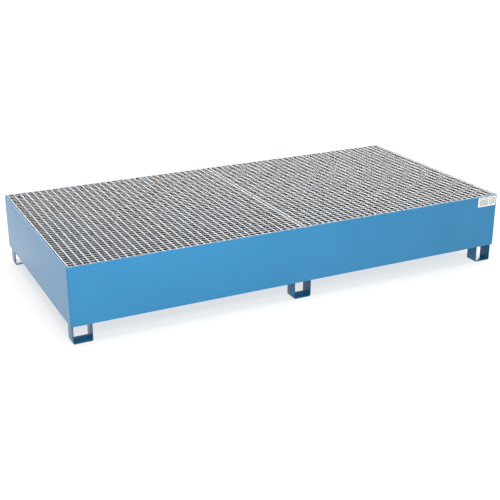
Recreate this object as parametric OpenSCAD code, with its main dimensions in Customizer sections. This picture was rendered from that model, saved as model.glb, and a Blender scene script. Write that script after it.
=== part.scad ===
// Spill containment pallet: a welded sheet-steel basin on six bent feet, with two lift-out
// welded gratings that carry the load over the liquid space.
// Frame: +X along the length, -Y the front, +Z up, origin on the floor under the centre.

/* [Basin] */
// Outside length of the basin
tray_length = 2650; // [2000:50:3200]
// Outside width of the basin
tray_width = 1300; // [900:50:1600]
// Height of the basin's walls, from the base's underside to the rim
wall_height = 320; // [220:10:450]
// Thickness of the basin's sheet
sheet = 3; // [2:0.5:4]
// Outside radius of the upright corners
corner_radius = 6; // [5:0.5:12]

/* [Feet] */
// Height of the feet, which is the clearance for forks
foot_height = 100; // [60:5:150]
// Width of a foot along the basin's length
foot_width = 105; // [60:5:160]
// Depth of a foot, the width of its flat bar
foot_depth = 80; // [40:5:120]
// Thickness of a foot's flat bar
foot_plate = 5; // [4:1:8]
// Outside radius of a foot's two bends
foot_bend = 9; // [9:1:14]
// Distance from the basin's outside faces in to the feet
foot_inset = 10; // [5:1:40]

/* [Grating] */
// Height of the bearing bars
bar_height = 30; // [20:5:40]
// Thickness of the bearing bars and the end bands
bar_thickness = 3; // [2:1:5]
// Distance aimed at between bearing bars, centre to centre
bar_pitch = 30; // [25:0.1:45]
// Side of the square cross rods
rod_side = 6; // [5:0.5:8]
// Distance between cross rods, centre to centre
rod_pitch = 38.1; // [30:0.1:60]
// How far the rods lie below the tops of the bars
rod_recess = 0.5; // [0.2:0.1:1]
// Gap between a panel and the basin's walls
side_gap = 8; // [5:1:12]
// Gap between the two panels, over the centre beam
seam_gap = 23; // [8:1:30]

/* [Supports] */
// Leg of the steel angle that carries the grating along the walls
ledge_leg = 40; // [35:5:60]
// Thickness of the steel angle
ledge_thickness = 4; // [3:1:6]
// Depth of the three cross beams
beam_height = 80; // [60:10:120]
// Width of a beam's flanges
beam_flange = 60; // [50:2:80]
// Thickness of a beam's web
beam_web = 4; // [3:0.5:6]
// Thickness of a beam's flanges
beam_flange_thickness = 5; // [4:0.5:8]
// Gap left at each end of the short ledges, beside the beams and the end ledges
ledge_gap = 2; // [1:1:10]

/* [Rating plate] */
// Length of the blank rating plate
plate_length = 130; // [60:5:200]
// Height of the blank rating plate
plate_height = 60; // [30:5:100]
// Thickness of the blank rating plate
plate_thickness = 0.5; // [0.3:0.1:1]
// Distance from the rim down to the plate
plate_drop = 4; // [2:1:40]
// Distance from the basin's right face in to the plate
plate_inset = 9; // [8:1:80]

/* [Hidden] */
SIDES = ["left", "right"];
ROWS = ["front", "rear"];
PLACES = ["left", "middle", "right"];
$fn = 48;

paint = [0.24, 0.56, 0.78];
paint_in_shade = [0.10, 0.33, 0.56];
galvanised = [0.74, 0.75, 0.74];
label_white = [0.95, 0.95, 0.93];

half_length = tray_length / 2;
half_width = tray_width / 2;
inner_length = tray_length - 2 * sheet;
inner_width = tray_width - 2 * sheet;
floor_z = foot_height + sheet;
rim_z = foot_height + wall_height;
grating_z = rim_z - bar_height;

panel_length = (inner_length - 2 * side_gap - seam_gap) / 2;
panel_width = inner_width - 2 * side_gap;
panel_x = (seam_gap + panel_length) / 2;

// Both rows of the mesh are centred on the panel. The bars keep an even pitch as near the one
// aimed at as the width allows, and the rods keep theirs, so the last bays take what is left.
bar_bays = round((panel_width - bar_thickness) / bar_pitch);
bar_step = (panel_width - bar_thickness) / bar_bays;
bar_length = panel_length - 2 * bar_thickness;
rod_count = round((panel_length - bar_thickness) / rod_pitch) - 1;

// The front and rear ledges fill the bays between the end ledges and the beams
ledge_stops = [
    [-inner_length / 2 + ledge_leg, -panel_x - beam_flange / 2],
    [-panel_x + beam_flange / 2, -beam_flange / 2],
    [beam_flange / 2, panel_x - beam_flange / 2],
    [panel_x + beam_flange / 2, inner_length / 2 - ledge_leg]
];

foot_x = half_length - foot_inset - foot_width / 2;
foot_y = half_width - foot_inset - foot_depth / 2;

function sign_of(side) = (side == "left" || side == "front") ? -1 : 1;
function place_x(place) = (place == "middle") ? 0 : sign_of(place) * foot_x;

// A rectangle centred on the origin, with round corners of radius r
module round_rectangle(length, width, r) {
    square([length - 2 * r, width], center = true);
    square([length, width - 2 * r], center = true);
    for (x = [-1, 1], y = [-1, 1])
        translate([x * (length / 2 - r), y * (width / 2 - r)]) circle(r);
}

module base_plate() {
    color(paint) translate([0, 0, foot_height]) linear_extrude(sheet)
        round_rectangle(tray_length, tray_width, corner_radius);
}

// A wall that stands on the base and stops where the round corners begin
module upright(x, y, length, width) {
    color(paint) translate([x - length / 2, y - width / 2, floor_z])
        cube([length, width, rim_z - floor_z]);
}

module long_wall(row) {
    upright(0, sign_of(row) * (half_width - sheet / 2), tray_length - 2 * corner_radius, sheet);
}

module end_wall(side) {
    upright(sign_of(side) * (half_length - sheet / 2), 0, sheet, tray_width - 2 * corner_radius);
}

// One quarter ring at each corner, as thick as the walls that it joins
module corner_seams() {
    color(paint) for (x = [0, 1], y = [0, 1]) mirror([x, 0, 0]) mirror([0, y, 0])
        translate([half_length - corner_radius, half_width - corner_radius, floor_z])
            rotate_extrude(angle = 90)
                translate([corner_radius - sheet, 0]) square([sheet, rim_z - floor_z]);
}

// Section of a steel angle: its corner at the origin, one leg along +X, one leg down
module angle_section() {
    polygon([
        [0, 0], [ledge_leg, 0], [ledge_leg, -ledge_thickness],
        [ledge_thickness, -ledge_thickness], [ledge_thickness, -ledge_leg], [0, -ledge_leg]
    ]);
}

// A length of angle centred on Y = 0 and running along Y, with its flat leg pointing to +X
module angle_bar(length) {
    translate([0, length / 2, 0]) rotate([90, 0, 0]) linear_extrude(length) angle_section();
}

// The end ledges stop where the basin's round corners begin
module end_ledge(side) {
    color(paint_in_shade) mirror([side == "right" ? 1 : 0, 0, 0])
        translate([-inner_length / 2, 0, grating_z]) angle_bar(tray_width - 2 * corner_radius);
}

module long_ledge(row) {
    color(paint_in_shade) mirror([0, row == "rear" ? 1 : 0, 0])
        for (stop = ledge_stops)
            translate([(stop[0] + stop[1]) / 2, -inner_width / 2, grating_z])
                rotate([0, 0, 90]) angle_bar(stop[1] - stop[0] - 2 * ledge_gap);
}

// An I-section that spans from the front wall to the rear wall, under the gratings
module beam(x) {
    half_flange = beam_flange / 2;
    half_web = beam_web / 2;
    top = beam_height - beam_flange_thickness;
    right_half = [
        [half_flange, 0], [half_flange, beam_flange_thickness], [half_web, beam_flange_thickness],
        [half_web, top], [half_flange, top], [half_flange, beam_height]
    ];
    left_half = [for (i = [5:-1:0]) [-right_half[i][0], right_half[i][1]]];
    color(paint_in_shade) translate([x, inner_width / 2, grating_z - beam_height])
        rotate([90, 0, 0]) linear_extrude(inner_width) polygon(concat(right_half, left_half));
}

// A flat bar bent to a U, open to the front and back, with its legs up to the base
module foot(row, place) {
    inside = foot_bend - foot_plate;
    color(paint_in_shade)
        translate([place_x(place), sign_of(row) * foot_y + foot_depth / 2, 0])
            rotate([90, 0, 0]) linear_extrude(foot_depth) difference() {
                foot_outline(foot_width, foot_height, foot_bend);
                translate([0, foot_plate])
                    foot_outline(foot_width - 2 * foot_plate, foot_height, inside);
            }
}

// A rectangle that stands on the X axis, with its two lower corners rounded to radius r
module foot_outline(width, height, r) {
    translate([-width / 2, r]) square([width, height - r]);
    translate([-width / 2 + r, 0]) square([width - 2 * r, height]);
    for (x = [-1, 1]) translate([x * (width / 2 - r), r]) circle(r);
}

module rating_plate() {
    color(label_white)
        translate([
            half_length - plate_inset - plate_length, -half_width - plate_thickness,
            rim_z - plate_drop - plate_height
        ])
            cube([plate_length, plate_thickness, plate_height]);
}

module bearing_bars(side) {
    color(galvanised) for (i = [0:bar_bays])
        translate([
            sign_of(side) * panel_x - bar_length / 2, -panel_width / 2 + i * bar_step, grating_z
        ])
            cube([bar_length, bar_thickness, bar_height]);
}

// The rods are forged into the bars, so each takes up some of the same space as every bar
module cross_rods(side) {
    color(galvanised) for (i = [0:rod_count - 1])
        translate([
            sign_of(side) * panel_x + (i - (rod_count - 1) / 2) * rod_pitch - rod_side / 2,
            -panel_width / 2, rim_z - rod_recess - rod_side
        ])
            cube([rod_side, panel_width, rod_side]);
}

// Flat bar welded across the ends of the bearing bars; the outer one faces the end wall
module end_band(side, outer) {
    reach = (outer ? 1 : -1) * (panel_length - bar_thickness) / 2;
    color(galvanised)
        translate([
            sign_of(side) * (panel_x + reach) - bar_thickness / 2, -panel_width / 2, grating_z
        ])
            cube([bar_thickness, panel_width, bar_height]);
}

base_plate();
long_wall("front");  // front_wall
long_wall("rear");  // rear_wall
end_wall("left");  // left_end_wall
end_wall("right");  // right_end_wall
corner_seams();
end_ledge("left");  // left_ledge
end_ledge("right");  // right_ledge
long_ledge("front");  // front_ledge
long_ledge("rear");  // rear_ledge
beam(-panel_x);  // left_beam
beam(0);  // centre_beam
beam(panel_x);  // right_beam
foot("front", "left");  // foot_front_left
foot("front", "middle");  // foot_front_middle
foot("front", "right");  // foot_front_right
foot("rear", "left");  // foot_rear_left
foot("rear", "middle");  // foot_rear_middle
foot("rear", "right");  // foot_rear_right
rating_plate();
bearing_bars("left");  // left_bearing_bars
cross_rods("left");  // left_cross_rods
end_band("left", true);  // left_outer_band
end_band("left", false);  // left_inner_band
bearing_bars("right");  // right_bearing_bars
cross_rods("right");  // right_cross_rods
end_band("right", true);  // right_outer_band
end_band("right", false);  // right_inner_band
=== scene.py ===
"""The looks of the spill containment pallet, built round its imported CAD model.

Metres, in the row frame: +X along the basin, -Y the front, +Z up, the floor at Z = 0.
Every piece takes its place and size from the CAD node that it stands for.
"""

import math

import bmesh
import bpy
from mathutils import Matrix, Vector, noise


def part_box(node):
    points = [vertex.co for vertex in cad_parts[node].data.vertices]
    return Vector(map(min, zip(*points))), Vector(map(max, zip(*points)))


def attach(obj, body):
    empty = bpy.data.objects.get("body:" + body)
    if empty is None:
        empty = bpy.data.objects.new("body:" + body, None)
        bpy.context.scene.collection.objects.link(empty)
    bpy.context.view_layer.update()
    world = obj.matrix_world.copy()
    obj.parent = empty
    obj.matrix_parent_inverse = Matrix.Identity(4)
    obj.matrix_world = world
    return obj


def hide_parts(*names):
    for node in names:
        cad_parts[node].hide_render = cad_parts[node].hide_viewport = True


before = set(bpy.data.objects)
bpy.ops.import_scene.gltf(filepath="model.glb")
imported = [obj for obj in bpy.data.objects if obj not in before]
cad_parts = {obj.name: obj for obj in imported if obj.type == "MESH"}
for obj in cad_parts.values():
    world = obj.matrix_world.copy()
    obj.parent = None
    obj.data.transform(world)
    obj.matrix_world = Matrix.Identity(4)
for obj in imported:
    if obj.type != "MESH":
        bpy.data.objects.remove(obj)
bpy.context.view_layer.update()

MM = 0.001
SIDES = ("left", "right")
ROWS = ("front", "rear")
PLACES = ("left", "middle", "right")
BEAMS = ("left_beam", "centre_beam", "right_beam")

# The photograph's viewpoint; azimuth 0 looks along +Y, and a positive one is from the right
CAMERA_AZIMUTH = -26.48
CAMERA_ELEVATION = 20.95
CAMERA_TARGET = Vector((-0.028, -0.040, 0.084))
CAMERA_DISTANCE = 5.765
CAMERA_LENS = 68.4

# The studio: the grey of the surroundings by height, the floor and three lamps. A lamp hangs
# at its place and shines from its direction.
WORLD_BY_HEIGHT = [(0.0, 0.95), (0.10, 0.85), (0.25, 0.30), (1.0, 0.55)]
FLOOR_RADIUS = 60.0
FLOOR_ALBEDO = 0.24
FLOOR_UNEVENNESS = 0.01
FLOOR_GLOW = 0.70
SKY_POWER = 4.8
SKY_ANGLE = math.radians(64)
SKY_PLACE = (0, 0, 3)
SKY_DIRECTION = (0.32, 0.35, 1.2)
FRONT_POWER = 67
FRONT_SIZE = (1.6, 1.0)
FRONT_PLACE = (-1.2, -3.1, 2.4)
FRONT_DIRECTION = (-0.5, -2.35, 2.2)
REAR_POWER = 300
REAR_SIZE = (8.0, 2.4)
REAR_PLACE = (3.0, 4.6, 2.2)
REAR_DIRECTION = (2.6, 4.8, 2.0)

# Colours, and the span of roughness of the paint and of the zinc
BLUE_DEEP, BLUE_LIGHT = (0.019, 0.195, 0.396), (0.026, 0.221, 0.440)
PAINT_ROUGHNESS = (0.19, 0.25)
PAINT_IOR = 1.40
BARE_STEEL = (0.22, 0.23, 0.24)
ZINC_DARK, ZINC_PALE = (0.38, 0.372, 0.362), (0.57, 0.559, 0.545)
ZINC_ROUGHNESS = (0.25, 0.38)

# Sizes that repeat the CAD model's
LEDGE_THICKNESS = 4 * MM
BEAM_WEB = 4 * MM
BEAM_FLANGE = 5 * MM
FOOT_PLATE = 5 * MM
FOOT_BEND = 9 * MM
ROD_RECESS = 0.5 * MM

# Shapes that the CAD model leaves plain
EDGE_ROUND = 0.6 * MM
BASE_EDGE_ROUND = 2.6 * MM
FLAT_EDGE_ROUND = 0.5 * MM
HEEL_ROUND = 0.4 * MM
FLANGE_ROUND = 0.6 * MM
ROLLED_ROOT = 5 * MM
ROLLED_TOE = 2 * MM
ROD_SIDE = 4.85 * MM
ROD_TWIST_LENGTH = 40 * MM
ROD_TURN_PER_RING = math.radians(30)
ROD_TURN_PER_ROD = 0.9
COLLAR_HALF_LENGTH = 6 * MM
COLLAR_BULGE = 0.9 * MM
COLLAR_DEPTH = 8 * MM
COLLAR_SLOPE = 0.3
PLATE_CORNER = 3 * MM
PRINT_DEPTH = 0.06 * MM
BEND_STEPS = 8

# Welds
BEAD_STEP = 2.4 * MM
BEAD_END = 0.35
BEAD_GROWTH = 0.3
BEAD_ARC = (0.0, 0.52, 1.05, math.pi / 2)
BEAD_RIPPLE = (-0.05, 0.07)
BEAD_WANDER = 0.10
BEAD_WANDER_SCALE = 45
BASIN_WELD = 3.2 * MM
FOOT_WELD = 3.4 * MM
GRATING_WELD = 2.4 * MM
STITCH_LENGTH = 0.045
STITCH_PITCH = 0.25
STITCH_MARGIN = 0.1
BEAM_WELD_GAP = 12 * MM
GRATING_WELD_GAPS = (6 * MM, 3 * MM)
SMOOTH_BELOW = 35
SMOOTH_BELOW_ROD = 40
SMOOTH_BELOW_WELD = 80


# ---------------------------------------------------------------- materials

def new_material(name):
    """A node material with its Principled shader, and functions that add a node and a link."""
    material = bpy.data.materials.new(name)
    material.use_nodes = True
    tree = material.node_tree
    shader = tree.nodes["Principled BSDF"]

    def add(kind, inputs=(), **settings):
        node = tree.nodes.new(kind)
        for key, value in settings.items():
            setattr(node, key, value)
        for socket, value in dict(inputs).items():
            if isinstance(value, bpy.types.NodeSocket):
                tree.links.new(value, node.inputs[socket])
            else:
                node.inputs[socket].default_value = value
        return node

    return material, shader, add, tree.links.new


def ramp(add, factor, stops):
    """A colour ramp of (position, grey or colour) stops."""
    node = add("ShaderNodeValToRGB", {"Fac": factor})
    elements = node.color_ramp.elements
    while len(elements) < len(stops):
        elements.new(0.5)
    for element, (position, value) in zip(elements, stops):
        element.position = position
        colour = (value,) * 3 if isinstance(value, float) else value
        element.color = (*colour, 1.0)
    return node.outputs["Color"]


def noise_of(add, place, scale, detail=2.0, roughness=0.5):
    """Noise of so many waves to the metre."""
    node = add("ShaderNodeTexNoise",
               {"Vector": place, "Scale": scale, "Detail": detail, "Roughness": roughness})
    return node.outputs["Fac"]


def paint_material(name, depth=1.0, rubbed=None):
    """Satin powder coat: orange peel, faint tone changes and a sheet that isn't quite flat.

    rubbed is (whole, worn, share): the height where the coat is whole, the height where it is
    worn, and how far through the coat the worn patches go. depth scales the blue: below 1 it
    gives a darker copy of the paint, which is painted shade on parts that sit under the basin and
    the gratings.
    """
    material, shader, add, link = new_material(name)
    place = add("ShaderNodeTexCoord").outputs["Object"]
    tone = noise_of(add, place, 3.5, 2.0)
    deep = tuple(depth * c for c in BLUE_DEEP)
    light = tuple(depth * c for c in BLUE_LIGHT)
    blue = ramp(add, tone, [(0.2, deep), (0.8, light)])
    smooth, rough = PAINT_ROUGHNESS
    roughness = ramp(add, noise_of(add, place, 9.0, 2.0), [(0.1, smooth), (0.9, rough)])
    if rubbed is not None:
        height = add("ShaderNodeSeparateXYZ", {"Vector": place}).outputs["Z"]
        whole, worn, share = rubbed
        contact = add("ShaderNodeMapRange", {
            "Value": height, "From Min": whole, "From Max": worn,
            "To Min": 0.0, "To Max": share}).outputs["Result"]
        patches = ramp(add, noise_of(add, place, 55.0, 6.0, 0.65), [(0.48, 0.0), (0.62, 1.0)])
        scuff = add("ShaderNodeMath", {0: contact, 1: patches}, operation="MULTIPLY").outputs[0]
        blue = add("ShaderNodeMix", {"Factor": scuff, "A": blue, "B": (*BARE_STEEL, 1)},
                   data_type="RGBA").outputs["Result"]
    link(blue, shader.inputs["Base Color"])
    link(roughness, shader.inputs["Roughness"])
    peel = noise_of(add, place, 260.0, 2.0)
    waves = noise_of(add, place, 2.2, 1.0)
    broad = add("ShaderNodeBump", {"Height": waves, "Strength": 0.10, "Distance": 0.02})
    fine = add("ShaderNodeBump", {
        "Height": peel, "Strength": 0.30, "Distance": 0.0001, "Normal": broad.outputs["Normal"]})
    link(fine.outputs["Normal"], shader.inputs["Normal"])
    shader.inputs["IOR"].default_value = PAINT_IOR
    return material


def zinc_material(name, light=1.0, dull=0.0, metal=1.0):
    """Hot-dip galvanised steel: spangles of a few millimetres, cloudy and uneven.

    light scales its colours, and a value above 1 paints light: the rods and bands take brighter
    copies as a painted highlight. dull adds to its roughness, and metal is how metallic it is:
    less where the zinc has weathered and also scatters light.
    """
    material, shader, add, link = new_material(name)
    place = add("ShaderNodeTexCoord").outputs["Object"]
    warp = add("ShaderNodeTexNoise", {"Vector": place, "Scale": 60.0, "Detail": 2.0})
    bent = add("ShaderNodeVectorMath", {0: warp.outputs["Color"], "Scale": 0.006},
               operation="SCALE").outputs["Vector"]
    moved = add("ShaderNodeVectorMath", {0: place, 1: bent}, operation="ADD").outputs["Vector"]
    cells = add("ShaderNodeTexVoronoi", {"Vector": moved, "Scale": 120.0})
    crystal = add("ShaderNodeSeparateColor", {"Color": cells.outputs["Color"]}).outputs["Red"]
    cloud = noise_of(add, place, 14.0, 5.0)
    both = add("ShaderNodeMath", {0: crystal, 1: cloud}, operation="ADD").outputs[0]
    half = add("ShaderNodeMath", {0: both, 1: 0.5}, operation="MULTIPLY").outputs[0]
    dark = tuple(light * c for c in ZINC_DARK)
    pale = tuple(light * c for c in ZINC_PALE)
    link(ramp(add, half, [(0.2, dark), (0.8, pale)]), shader.inputs["Base Color"])
    smooth, rough = ZINC_ROUGHNESS
    link(ramp(add, half, [(0.2, smooth + dull), (0.8, rough + dull)]), shader.inputs["Roughness"])
    lumps = noise_of(add, place, 220.0, 3.0)
    bump = add("ShaderNodeBump", {"Height": lumps, "Strength": 0.35, "Distance": 0.0004})
    link(bump.outputs["Normal"], shader.inputs["Normal"])
    shader.inputs["Metallic"].default_value = metal
    return material


def film_material(name, colour, gloss):
    """Self-adhesive film or the print on it, slightly uneven."""
    material, shader, add, link = new_material(name)
    place = add("ShaderNodeTexCoord").outputs["Object"]
    tone = noise_of(add, place, 60.0, 3.0)
    darker = tuple(0.95 * c for c in colour)
    link(ramp(add, tone, [(0.3, darker), (0.7, colour)]), shader.inputs["Base Color"])
    grain = noise_of(add, place, 900.0, 2.0)
    bump = add("ShaderNodeBump", {"Height": grain, "Strength": 0.05, "Distance": 0.0002})
    link(bump.outputs["Normal"], shader.inputs["Normal"])
    shader.inputs["Roughness"].default_value = gloss
    return material


PAINT = paint_material("blue_powder_coat")
# Half-strength blue on the feet is painted shade from sitting under the basin; the scuffs at
# their bottoms are real wear
FOOT_PAINT_SHADED = paint_material("blue_powder_coat_scuffed_and_painted_shade", depth=0.50, rubbed=(4 * MM, 0.0, 1.0))
LEDGE_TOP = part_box("left_ledge")[1].z
# Darker blue on the ledges and beams is painted shade under the gratings; the rubbed patches
# where the gratings rest are real wear
LEDGE_PAINT_SHADED = paint_material("blue_powder_coat_rubbed_and_painted_shade", depth=0.62,
                             rubbed=(LEDGE_TOP - 0.6 * MM, LEDGE_TOP - 0.2 * MM, 0.4))
ZINC = zinc_material("galvanised_steel", light=0.95)
# A brighter copy of the zinc, a painted highlight along the rods
ZINC_ROD_LIT = zinc_material("galvanised_rod_painted_highlight", light=1.3, dull=0.2, metal=0.6)
# A brighter copy of the zinc, painted light on the end bands
ZINC_BAND_LIT = zinc_material("galvanised_band_painted_light", light=1.4, dull=0.15, metal=0.6)
ZINC_WELD = zinc_material("galvanised_weld", light=0.9)
FILM = film_material("white_film", (0.86, 0.87, 0.86), 0.35)
PRINT = film_material("grey_print", (0.10, 0.105, 0.12), 0.5)
TINT = film_material("grey_tint", (0.50, 0.50, 0.45), 0.5)


# ---------------------------------------------------------------- mesh building

class Shape:
    """A mesh under construction: rings of points joined into closed skins."""

    def __init__(self):
        self.points, self.faces, self.slots = [], [], []

    def loft(self, rings, slot=0):
        """Joins each ring to the next, and closes the first and the last."""
        first, count = len(self.points), len(rings[0])
        for ring in rings:
            self.points.extend(ring)
        skin = [tuple(range(first, first + count))[::-1]]
        for r in range(len(rings) - 1):
            low, high = first + r * count, first + (r + 1) * count
            for i in range(count):
                j = (i + 1) % count
                skin.append((low + i, low + j, high + j, high + i))
        skin.append(tuple(range(len(self.points) - count, len(self.points))))
        self.faces += skin
        self.slots += [slot] * len(skin)

    def extrude(self, section, start, end, across, upward, slot=0):
        """Runs a flat section, of (across, upward) points, from start to end."""
        self.loft([[at + p.x * across + p.y * upward for p in section] for at in (start, end)],
                  slot)

    def block(self, low, high, slot=0):
        """A thin printed bar between two corners."""
        self.extrude(rectangle(low.x, low.z, high.x, high.z), Y * low.y, Y * high.y, X, Z, slot)

    def piece(self, name, materials, body, replaces=(), smooth_below=SMOOTH_BELOW):
        """Makes the object, which rides on a body and stands for CAD nodes."""
        mesh = bpy.data.meshes.new(name)
        mesh.from_pydata(self.points, [], self.faces)
        for material in materials:
            mesh.materials.append(material)
        mesh.polygons.foreach_set("material_index", self.slots)
        skin = bmesh.new()
        skin.from_mesh(mesh)
        bmesh.ops.recalc_face_normals(skin, faces=skin.faces)
        skin.to_mesh(mesh)
        skin.free()
        mesh.shade_smooth()
        mesh.set_sharp_from_angle(angle=math.radians(smooth_below))
        made = bpy.data.objects.new(name, mesh)
        bpy.context.scene.collection.objects.link(made)
        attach(made, body)
        if replaces:
            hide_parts(*replaces)


def rounded(corners, radii, steps=3):
    """An outline of 2D corners, each rounded to its own radius, or left sharp where that is 0."""
    outline = []
    for i, (corner, radius) in enumerate(zip(corners, radii)):
        if not radius:
            outline.append(corner)
            continue
        back = (corners[i - 1] - corner).normalized()
        ahead = (corners[(i + 1) % len(corners)] - corner).normalized()
        half = back.angle(ahead) / 2
        centre = corner + (back + ahead).normalized() * (radius / math.sin(half))
        start = corner + back * (radius / math.tan(half)) - centre
        first = math.atan2(start.y, start.x)
        sweep = math.copysign(math.pi - 2 * half, back.cross(ahead) * -1)
        for step in range(steps + 1):
            turn = first + sweep * step / steps
            outline.append(centre + radius * Vector((math.cos(turn), math.sin(turn))))
    return outline


def rectangle(low_x, low_y, high_x, high_y):
    """The four corners of a flat rectangle, counter-clockwise."""
    return [Vector(p) for p in
            ((low_x, low_y), (high_x, low_y), (high_x, high_y), (low_x, high_y))]


def spans(node, axis):
    """The (low, high) stretches that a node's separate solids take up along an axis."""
    stops = []
    for value in sorted(v.co[axis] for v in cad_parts[node].data.vertices):
        if not stops or value - stops[-1] > 0.1 * MM:
            stops.append(value)
    return list(zip(stops[0::2], stops[1::2]))


X, Y, Z = Vector((1, 0, 0)), Vector((0, 1, 0)), Vector((0, 0, 1))

base_low, base_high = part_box("base_plate")
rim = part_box("front_wall")[1].z
sheet = base_high.z - base_low.z
corner_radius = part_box("front_wall")[0].x - base_low.x
inner_x, inner_y = base_high.x - sheet, base_high.y - sheet


# ---------------------------------------------------------------- basin

def plan_outline(inset):
    """The basin's outline in plan, this far inside its outer face."""
    corners = rectangle(base_low.x + inset, base_low.y + inset,
                        base_high.x - inset, base_high.y - inset)
    return rounded(corners, [corner_radius - inset] * 4, steps=BEND_STEPS)


def make_base():
    """The floor sheet, whose lower edge is rounded like a bend."""
    rings, steps = [(0.0, base_high.z)], 4
    for step in range(steps + 1):
        turn = math.radians(90) * step / steps
        rings.append((BASE_EDGE_ROUND * (1 - math.cos(turn)),
                      base_low.z + BASE_EDGE_ROUND * (1 - math.sin(turn))))
    shape = Shape()
    shape.loft([[Vector((p.x, p.y, z)) for p in plan_outline(inset)] for inset, z in rings])
    shape.piece("base_plate_detail", [PAINT], "basin", ["base_plate"])


def wall_section():
    """A wall's section, from its inner face outwards and from the base up."""
    height = rim - base_high.z
    return rounded(rectangle(0, 0, sheet, height), [0, 0, EDGE_ROUND, EDGE_ROUND])


def make_walls():
    """The four walls, their upper edges eased."""
    for node, inner, outward in (
            ("front_wall", -inner_y, -Y), ("rear_wall", inner_y, Y),
            ("left_end_wall", -inner_x, -X), ("right_end_wall", inner_x, X)):
        low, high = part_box(node)
        along = X if outward.x == 0 else Y
        face = Vector((0, inner, base_high.z)) if along is X else Vector((inner, 0, base_high.z))
        shape = Shape()
        shape.extrude(wall_section(), face + along * low.dot(along),
                      face + along * high.dot(along), outward, Z)
        shape.piece(f"{node}_detail", [PAINT], "basin", [node])


def make_corners():
    """The four upright corner seams, dressed round."""
    shape = Shape()
    for sx in (-1, 1):
        for sy in (-1, 1):
            centre = Vector((sx * (base_high.x - corner_radius),
                             sy * (base_high.y - corner_radius), base_high.z))
            rings = []
            for step in range(BEND_STEPS + 1):
                turn = math.radians(90) * step / BEND_STEPS
                outward = Vector((sx * math.cos(turn), sy * math.sin(turn), 0))
                inner = centre + outward * (corner_radius - sheet)
                rings.append([inner + outward * p.x + Z * p.y for p in wall_section()])
            shape.loft(rings)
    shape.piece("corner_seams_detail", [PAINT], "basin", ["corner_seams"])


def angle_outline(leg, thickness):
    """A rolled steel angle: its heel at the origin, one leg inwards, one leg down."""
    corners = [Vector(p) for p in
               ((0, 0), (leg, 0), (leg, -thickness), (thickness, -thickness),
                (thickness, -leg), (0, -leg))]
    radii = [HEEL_ROUND, HEEL_ROUND, ROLLED_TOE, ROLLED_ROOT, ROLLED_TOE, HEEL_ROUND]
    return rounded(corners, radii, steps=4)


def make_ledges():
    """The steel angles that carry the gratings, with their heels up against the walls."""
    for side, inwards in (("left", X), ("right", -X)):
        node = f"{side}_ledge"
        low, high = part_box(node)
        heel = Vector((-inwards.x * inner_x, 0, high.z))
        shape = Shape()
        shape.extrude(angle_outline(high.x - low.x, LEDGE_THICKNESS),
                      heel + Y * low.y, heel + Y * high.y, inwards, Z)
        shape.piece(f"{node}_detail", [LEDGE_PAINT_SHADED], "basin", [node])
    for row, inwards in (("front", Y), ("rear", -Y)):
        node = f"{row}_ledge"
        low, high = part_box(node)
        heel = Vector((0, -inwards.y * inner_y, high.z))
        shape = Shape()
        for start, end in spans(node, 0):
            shape.extrude(angle_outline(high.y - low.y, LEDGE_THICKNESS),
                          heel + X * start, heel + X * end, inwards, Z)
        shape.piece(f"{node}_detail", [LEDGE_PAINT_SHADED], "basin", [node])


def make_beams():
    """Rolled I-sections with the fillets and soft toes of real ones."""
    flange, inner = BEAM_FLANGE, BEAM_WEB / 2
    for node in BEAMS:
        low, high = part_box(node)
        half, height = (high.x - low.x) / 2, high.z - low.z
        right = [(half, 0), (half, flange), (inner, flange),
                 (inner, height - flange), (half, height - flange), (half, height)]
        corners = [Vector(p) for p in right + [(-x, z) for x, z in reversed(right)]]
        radii = [FLANGE_ROUND, ROLLED_TOE, ROLLED_ROOT, ROLLED_ROOT, ROLLED_TOE, FLANGE_ROUND] * 2
        middle = Vector(((low.x + high.x) / 2, 0, low.z))
        shape = Shape()
        shape.extrude(rounded(corners, radii, steps=4),
                      middle + Y * low.y, middle + Y * high.y, X, Z)
        shape.piece(f"{node}_detail", [LEDGE_PAINT_SHADED], "basin", [node])


def foot_path(half_width, height):
    """Points on the middle of a foot's plate with their outward direction, from leg to leg."""
    radius, corner = FOOT_BEND - FOOT_PLATE / 2, half_width - FOOT_BEND
    path = [(Vector((-half_width + FOOT_PLATE / 2, 0, height)), -X)]
    for side, first in ((-1, 180), (1, 270)):
        for step in range(BEND_STEPS + 1):
            turn = math.radians(first + 90 * step / BEND_STEPS)
            outward = Vector((math.cos(turn), 0, math.sin(turn)))
            path.append((Vector((side * corner, 0, FOOT_BEND)) + outward * radius, outward))
    path.append((Vector((half_width - FOOT_PLATE / 2, 0, height)), X))
    return path


def make_feet():
    """Six feet of flat bar, bent to a U."""
    for row in ROWS:
        for place in PLACES:
            node = f"foot_{row}_{place}"
            low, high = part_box(node)
            middle = Vector(((low.x + high.x) / 2, (low.y + high.y) / 2, 0))
            depth = (high.y - low.y) / 2
            section = rounded(rectangle(-FOOT_PLATE / 2, -depth, FOOT_PLATE / 2, depth),
                              [EDGE_ROUND] * 4)
            shape = Shape()
            shape.loft([
                [middle + at + outward * p.x + Y * p.y for p in section]
                for at, outward in foot_path((high.x - low.x) / 2, high.z)])
            shape.piece(f"{node}_detail", [FOOT_PAINT_SHADED], "basin", [node])


# ---------------------------------------------------------------- welds

def bead(shape, start, end, first, second, size):
    """A rippled fillet weld in the corner between two faces that point to first and second."""
    length = (end - start).length
    along = (end - start) / length
    count = max(4, round(length / BEAD_STEP))
    rings = []
    for step in range(count + 1):
        at = start + along * (length * step / count)
        taper = min(1.0, BEAD_END + BEAD_GROWTH * min(step, count - step))
        wander = BEAD_WANDER * noise.noise(at * BEAD_WANDER_SCALE)
        leg = size * taper * (1 + BEAD_RIPPLE[step % 2] + wander)
        rings.append([at] + [at + (first * math.cos(a) + second * math.sin(a)) * leg
                             for a in BEAD_ARC])
    shape.loft(rings)


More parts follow.
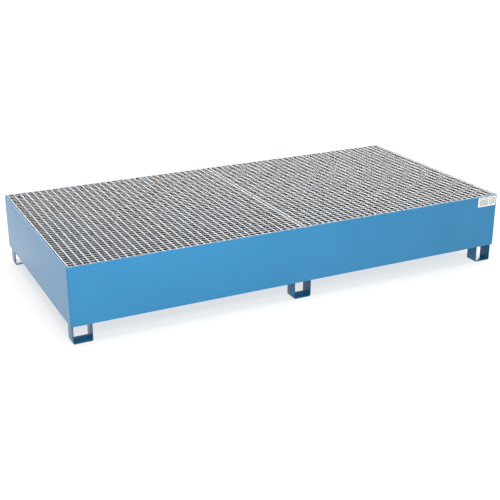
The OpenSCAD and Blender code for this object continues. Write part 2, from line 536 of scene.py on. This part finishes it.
def make_floor_weld():
    """Fillets where the walls meet the floor."""
    floor = base_high.z
    shape = Shape()
    for s in (-1, 1):
        bead(shape, Vector((-inner_x, s * inner_y, floor)), Vector((inner_x, s * inner_y, floor)),
             -s * Y, Z, BASIN_WELD)
        bead(shape, Vector((s * inner_x, -inner_y, floor)), Vector((s * inner_x, inner_y, floor)),
             -s * X, Z, BASIN_WELD)
    shape.piece("floor_weld", [PAINT], "basin", smooth_below=SMOOTH_BELOW_WELD)


def stitch(shape, start, end, inwards):
    """Short beads, evenly spaced about the middle of a ledge's lower edge."""
    along = (end - start).normalized()
    gaps = int(((end - start).length - STITCH_MARGIN) / STITCH_PITCH)
    for i in range(gaps + 1):
        middle = (start + end) / 2 + along * ((i - gaps / 2) * STITCH_PITCH)
        bead(shape, middle - along * STITCH_LENGTH / 2, middle + along * STITCH_LENGTH / 2,
             inwards, -Z, BASIN_WELD)


def make_support_welds():
    """Short beads under the ledges, and fillets round the ends of the beams."""
    shape = Shape()
    lower_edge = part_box("left_ledge")[0].z
    for s in (-1, 1):
        wall = s * inner_y
        stitch(shape, Vector((s * inner_x, -inner_y, lower_edge)),
               Vector((s * inner_x, inner_y, lower_edge)), -s * X)
        for start, end in spans("front_ledge", 0):
            stitch(shape, Vector((start, wall, lower_edge)), Vector((end, wall, lower_edge)),
                   -s * Y)
        for node in BEAMS:
            low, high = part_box(node)
            bead(shape, Vector((low.x + BASIN_WELD, wall, low.z)),
                 Vector((high.x - BASIN_WELD, wall, low.z)), -s * Y, -Z, BASIN_WELD)
            for t in (-1, 1):
                x = (low.x + high.x) / 2 + t * BEAM_WEB / 2
                bead(shape, Vector((x, wall, low.z + BEAM_WELD_GAP)),
                     Vector((x, wall, high.z - BEAM_WELD_GAP)), -s * Y, t * X, BASIN_WELD)
    shape.piece("support_welds", [PAINT], "basin", smooth_below=SMOOTH_BELOW_WELD)


def make_foot_welds():
    """Fillets along both faces of each leg, under the base."""
    shape = Shape()
    for row in ROWS:
        for place in PLACES:
            low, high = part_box(f"foot_{row}_{place}")
            for x, outward in ((low.x, -X), (low.x + FOOT_PLATE, X),
                               (high.x - FOOT_PLATE, -X), (high.x, X)):
                bead(shape, Vector((x, low.y + FOOT_WELD, high.z)),
                     Vector((x, high.y - FOOT_WELD, high.z)), outward, -Z, FOOT_WELD)
    shape.piece("foot_welds", [PAINT], "basin", smooth_below=SMOOTH_BELOW_WELD)


# ---------------------------------------------------------------- gratings

def bar_ring(x, y, low_z, top, half, bulge):
    """Section of a bearing bar at x, with its upper edge swollen by bulge round a rod."""
    edge, wide = FLAT_EDGE_ROUND, half + bulge
    right = [(half - edge, low_z), (half, low_z + edge), (half, top - COLLAR_DEPTH),
             (wide, top - (1 - COLLAR_SLOPE) * COLLAR_DEPTH), (wide, top - edge),
             (wide - edge, top)]
    left = [(-across, z) for across, z in reversed(right)]
    return [Vector((x, y + across, z)) for across, z in right + left]


def make_bars(side, rods):
    """The bearing bars, with a forged collar at each rod."""
    node = f"{side}_bearing_bars"
    low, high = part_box(node)
    shape = Shape()
    for start, end in spans(node, 1):
        y, half = (start + end) / 2, (end - start) / 2
        rings = [bar_ring(low.x, y, low.z, high.z, half, 0)]
        for rod in rods:
            for reach, share in ((-1, 0), (-0.5, 1), (0.5, 1), (1, 0)):
                rings.append(bar_ring(rod + reach * COLLAR_HALF_LENGTH, y, low.z, high.z, half,
                                      share * COLLAR_BULGE))
        rings.append(bar_ring(high.x, y, low.z, high.z, half, 0))
        shape.loft(rings)
    shape.piece(f"{node}_detail", [ZINC], f"{side}_grating", [node])


def make_rods(side, rods):
    """Square rods, twisted cold, whose ridges come level with the tops of the bars."""
    node = f"{side}_cross_rods"
    low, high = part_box(node)
    reach = ROD_SIDE / math.sqrt(2)
    turns = (high.y - low.y) / ROD_TWIST_LENGTH * math.tau
    count = math.ceil(turns / ROD_TURN_PER_RING)
    shape = Shape()
    for i, rod in enumerate(rods):
        centre = Vector((rod, 0, high.z + ROD_RECESS - reach))
        rings = []
        for step in range(count + 1):
            y = low.y + (high.y - low.y) * step / count
            turn = turns * step / count + i * ROD_TURN_PER_ROD
            rings.append([centre + Vector((reach * math.cos(turn + k * math.pi / 2), y,
                                           reach * math.sin(turn + k * math.pi / 2)))
                          for k in range(4)])
        shape.loft(rings)
    shape.piece(f"{node}_detail", [ZINC_ROD_LIT], f"{side}_grating", [node],
                smooth_below=SMOOTH_BELOW_ROD)


def make_bands(side):
    """The flat bands that close a grating's two ends."""
    for place in ("outer", "inner"):
        node = f"{side}_{place}_band"
        low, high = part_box(node)
        section = rounded(rectangle(low.x, low.z, high.x, high.z), [FLAT_EDGE_ROUND] * 4)
        shape = Shape()
        shape.extrude(section, Y * low.y, Y * high.y, X, Z)
        shape.piece(f"{node}_detail", [ZINC_BAND_LIT], f"{side}_grating", [node])


def make_grating_welds(side):
    """A short upright fillet where each bearing bar meets an end band."""
    low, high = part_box(f"{side}_bearing_bars")
    gap_below, gap_above = GRATING_WELD_GAPS
    shape = Shape()
    for start, end in spans(f"{side}_bearing_bars", 1):
        y, towards_middle = (start, -Y) if start > 0 else (end, Y)
        for x, inwards in ((low.x, X), (high.x, -X)):
            bead(shape, Vector((x, y, low.z + gap_below)), Vector((x, y, high.z - gap_above)),
                 inwards, towards_middle, GRATING_WELD)
    shape.piece(f"{side}_grating_welds", [ZINC_WELD], f"{side}_grating",
                smooth_below=SMOOTH_BELOW_WELD)


def make_grating(side):
    """One lift-out panel, all of which rides on its own body."""
    rods = [(start + end) / 2 for start, end in spans(f"{side}_cross_rods", 0)]
    make_bars(side, rods)
    make_rods(side, rods)
    make_bands(side)
    make_grating_welds(side)


# ---------------------------------------------------------------- rating plate

def make_rating_plate():
    """A white film with generic print and no lettering: rows on the left, boxes on the right."""
    low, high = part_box("rating_plate")
    width, height = high.x - low.x, high.z - low.z
    face = low.y + PRINT_DEPTH
    outline = rounded(rectangle(low.x, low.z, high.x, high.z), [PLATE_CORNER] * 4, steps=5)
    shape = Shape()
    shape.extrude(outline, Y * high.y, Y * face, X, Z)

    def rule(x0, z0, x1, z1, slot=1):
        """A printed bar between two places, as shares of the plate's width and height."""
        shape.block(Vector((low.x + x0 * width, low.y, low.z + z0 * height)),
                    Vector((low.x + x1 * width, face, low.z + z1 * height)), slot)

    def field(x0, z0, x1, z1, line):
        """A ruled box, its lines this thick."""
        across, upward = line / width, line / height
        rule(x0, z0, x1, z0 + upward)
        rule(x0, z1 - upward, x1, z1)
        rule(x0, z0 + upward, x0 + across, z1 - upward)
        rule(x1 - across, z0 + upward, x1, z1 - upward)

    for start, end in ((0.08, 0.24), (0.28, 0.38), (0.42, 0.58)):
        rule(start, 0.84, end, 0.91)
    for row in range(4):
        rule(0.08, 0.12 + 0.16 * row, 0.56, 0.25 + 0.16 * row, slot=2)
    field(0.64, 0.18, 0.80, 0.86, 2.4 * MM)
    rule(0.69, 0.34, 0.75, 0.70, slot=2)
    rule(0.85, 0.18, 0.88, 0.86)
    rule(0.92, 0.18, 0.94, 0.86)
    shape.piece("rating_plate_detail", [FILM, PRINT, TINT], "basin", ["rating_plate"])


# ---------------------------------------------------------------- studio

def make_floor():
    """A wide pale floor that glows a little, so that the shadow on it stays light."""
    mesh = bpy.data.meshes.new("studio_floor")
    skin = bmesh.new()
    bmesh.ops.create_circle(skin, cap_ends=True, radius=FLOOR_RADIUS, segments=96)
    skin.to_mesh(mesh)
    skin.free()
    floor = bpy.data.objects.new("studio_floor", mesh)
    material, shader, add, link = new_material("pale_floor")
    place = add("ShaderNodeTexCoord").outputs["Object"]
    tone = noise_of(add, place, 0.7, 2.0)
    link(ramp(add, tone, [(0.3, FLOOR_ALBEDO - FLOOR_UNEVENNESS),
                          (0.7, FLOOR_ALBEDO + FLOOR_UNEVENNESS)]), shader.inputs["Base Color"])
    shader.inputs["Roughness"].default_value = 0.9
    shader.inputs["Specular IOR Level"].default_value = 0.1
    shader.inputs["Emission Color"].default_value = (1, 1, 1, 1)
    shader.inputs["Emission Strength"].default_value = FLOOR_GLOW
    mesh.materials.append(material)
    bpy.context.scene.collection.objects.link(floor)


def hang_lamp(lamp, place, direction, diffuse=True):
    """Hangs a lamp that shines from a direction; one that isn't diffuse only makes highlights."""
    made = bpy.data.objects.new(lamp.name, lamp)
    made.location = Vector(place)
    made.rotation_mode = "QUATERNION"
    made.rotation_quaternion = Vector(direction).to_track_quat("Z", "Y")
    made.visible_camera = False
    made.visible_diffuse = diffuse
    bpy.context.scene.collection.objects.link(made)


def make_surroundings():
    """Soft grey surroundings whose brightness goes by height."""
    world = bpy.data.worlds.new("white_room")
    world.use_nodes = True
    nodes, link = world.node_tree.nodes, world.node_tree.links.new
    direction = nodes.new("ShaderNodeTexCoord")
    height = nodes.new("ShaderNodeSeparateXYZ")
    shade = nodes.new("ShaderNodeValToRGB")
    link(direction.outputs["Generated"], height.inputs["Vector"])
    link(height.outputs["Z"], shade.inputs["Fac"])
    for _ in WORLD_BY_HEIGHT[2:]:
        shade.color_ramp.elements.new(0.5)
    for element, (position, grey) in zip(shade.color_ramp.elements, WORLD_BY_HEIGHT):
        element.position, element.color = position, (grey, grey, grey, 1)
    link(shade.outputs["Color"], nodes["Background"].inputs["Color"])
    bpy.context.scene.world = world


def softbox(name, power, size):
    """A rectangular area lamp."""
    lamp = bpy.data.lights.new(name, "AREA")
    lamp.shape, lamp.energy = "RECTANGLE", power
    lamp.size, lamp.size_y = size
    return lamp


def make_studio():
    """The floor, the surroundings and three soft lamps."""
    make_floor()
    make_surroundings()
    sky = bpy.data.lights.new("overhead_softbox", "SUN")
    sky.energy, sky.angle = SKY_POWER, SKY_ANGLE
    hang_lamp(sky, SKY_PLACE, SKY_DIRECTION)
    hang_lamp(softbox("front_softbox", FRONT_POWER, FRONT_SIZE), FRONT_PLACE, FRONT_DIRECTION)
    hang_lamp(softbox("rear_softbox", REAR_POWER, REAR_SIZE), REAR_PLACE, REAR_DIRECTION,
              diffuse=False)
    bpy.context.scene.view_settings.view_transform = "Standard"


def make_camera():
    """A camera at the photograph's angle, with no lens shift."""
    lens = bpy.data.cameras.new("camera")
    lens.lens, lens.sensor_width = CAMERA_LENS, 36.0
    camera = bpy.data.objects.new("camera", lens)
    turn, lift = math.radians(CAMERA_AZIMUTH), math.radians(CAMERA_ELEVATION)
    back = Vector((math.sin(turn) * math.cos(lift), -math.cos(turn) * math.cos(lift),
                   math.sin(lift)))
    camera.location = CAMERA_TARGET + back * CAMERA_DISTANCE
    camera.rotation_mode = "QUATERNION"
    camera.rotation_quaternion = (-back).to_track_quat("-Z", "Y")
    bpy.context.scene.collection.objects.link(camera)
    bpy.context.scene.camera = camera


make_camera()
make_studio()
make_base()
make_walls()
make_corners()
make_ledges()
make_beams()
make_feet()
make_floor_weld()
make_support_welds()
make_foot_welds()
for grating_side in SIDES:
    make_grating(grating_side)
make_rating_plate()
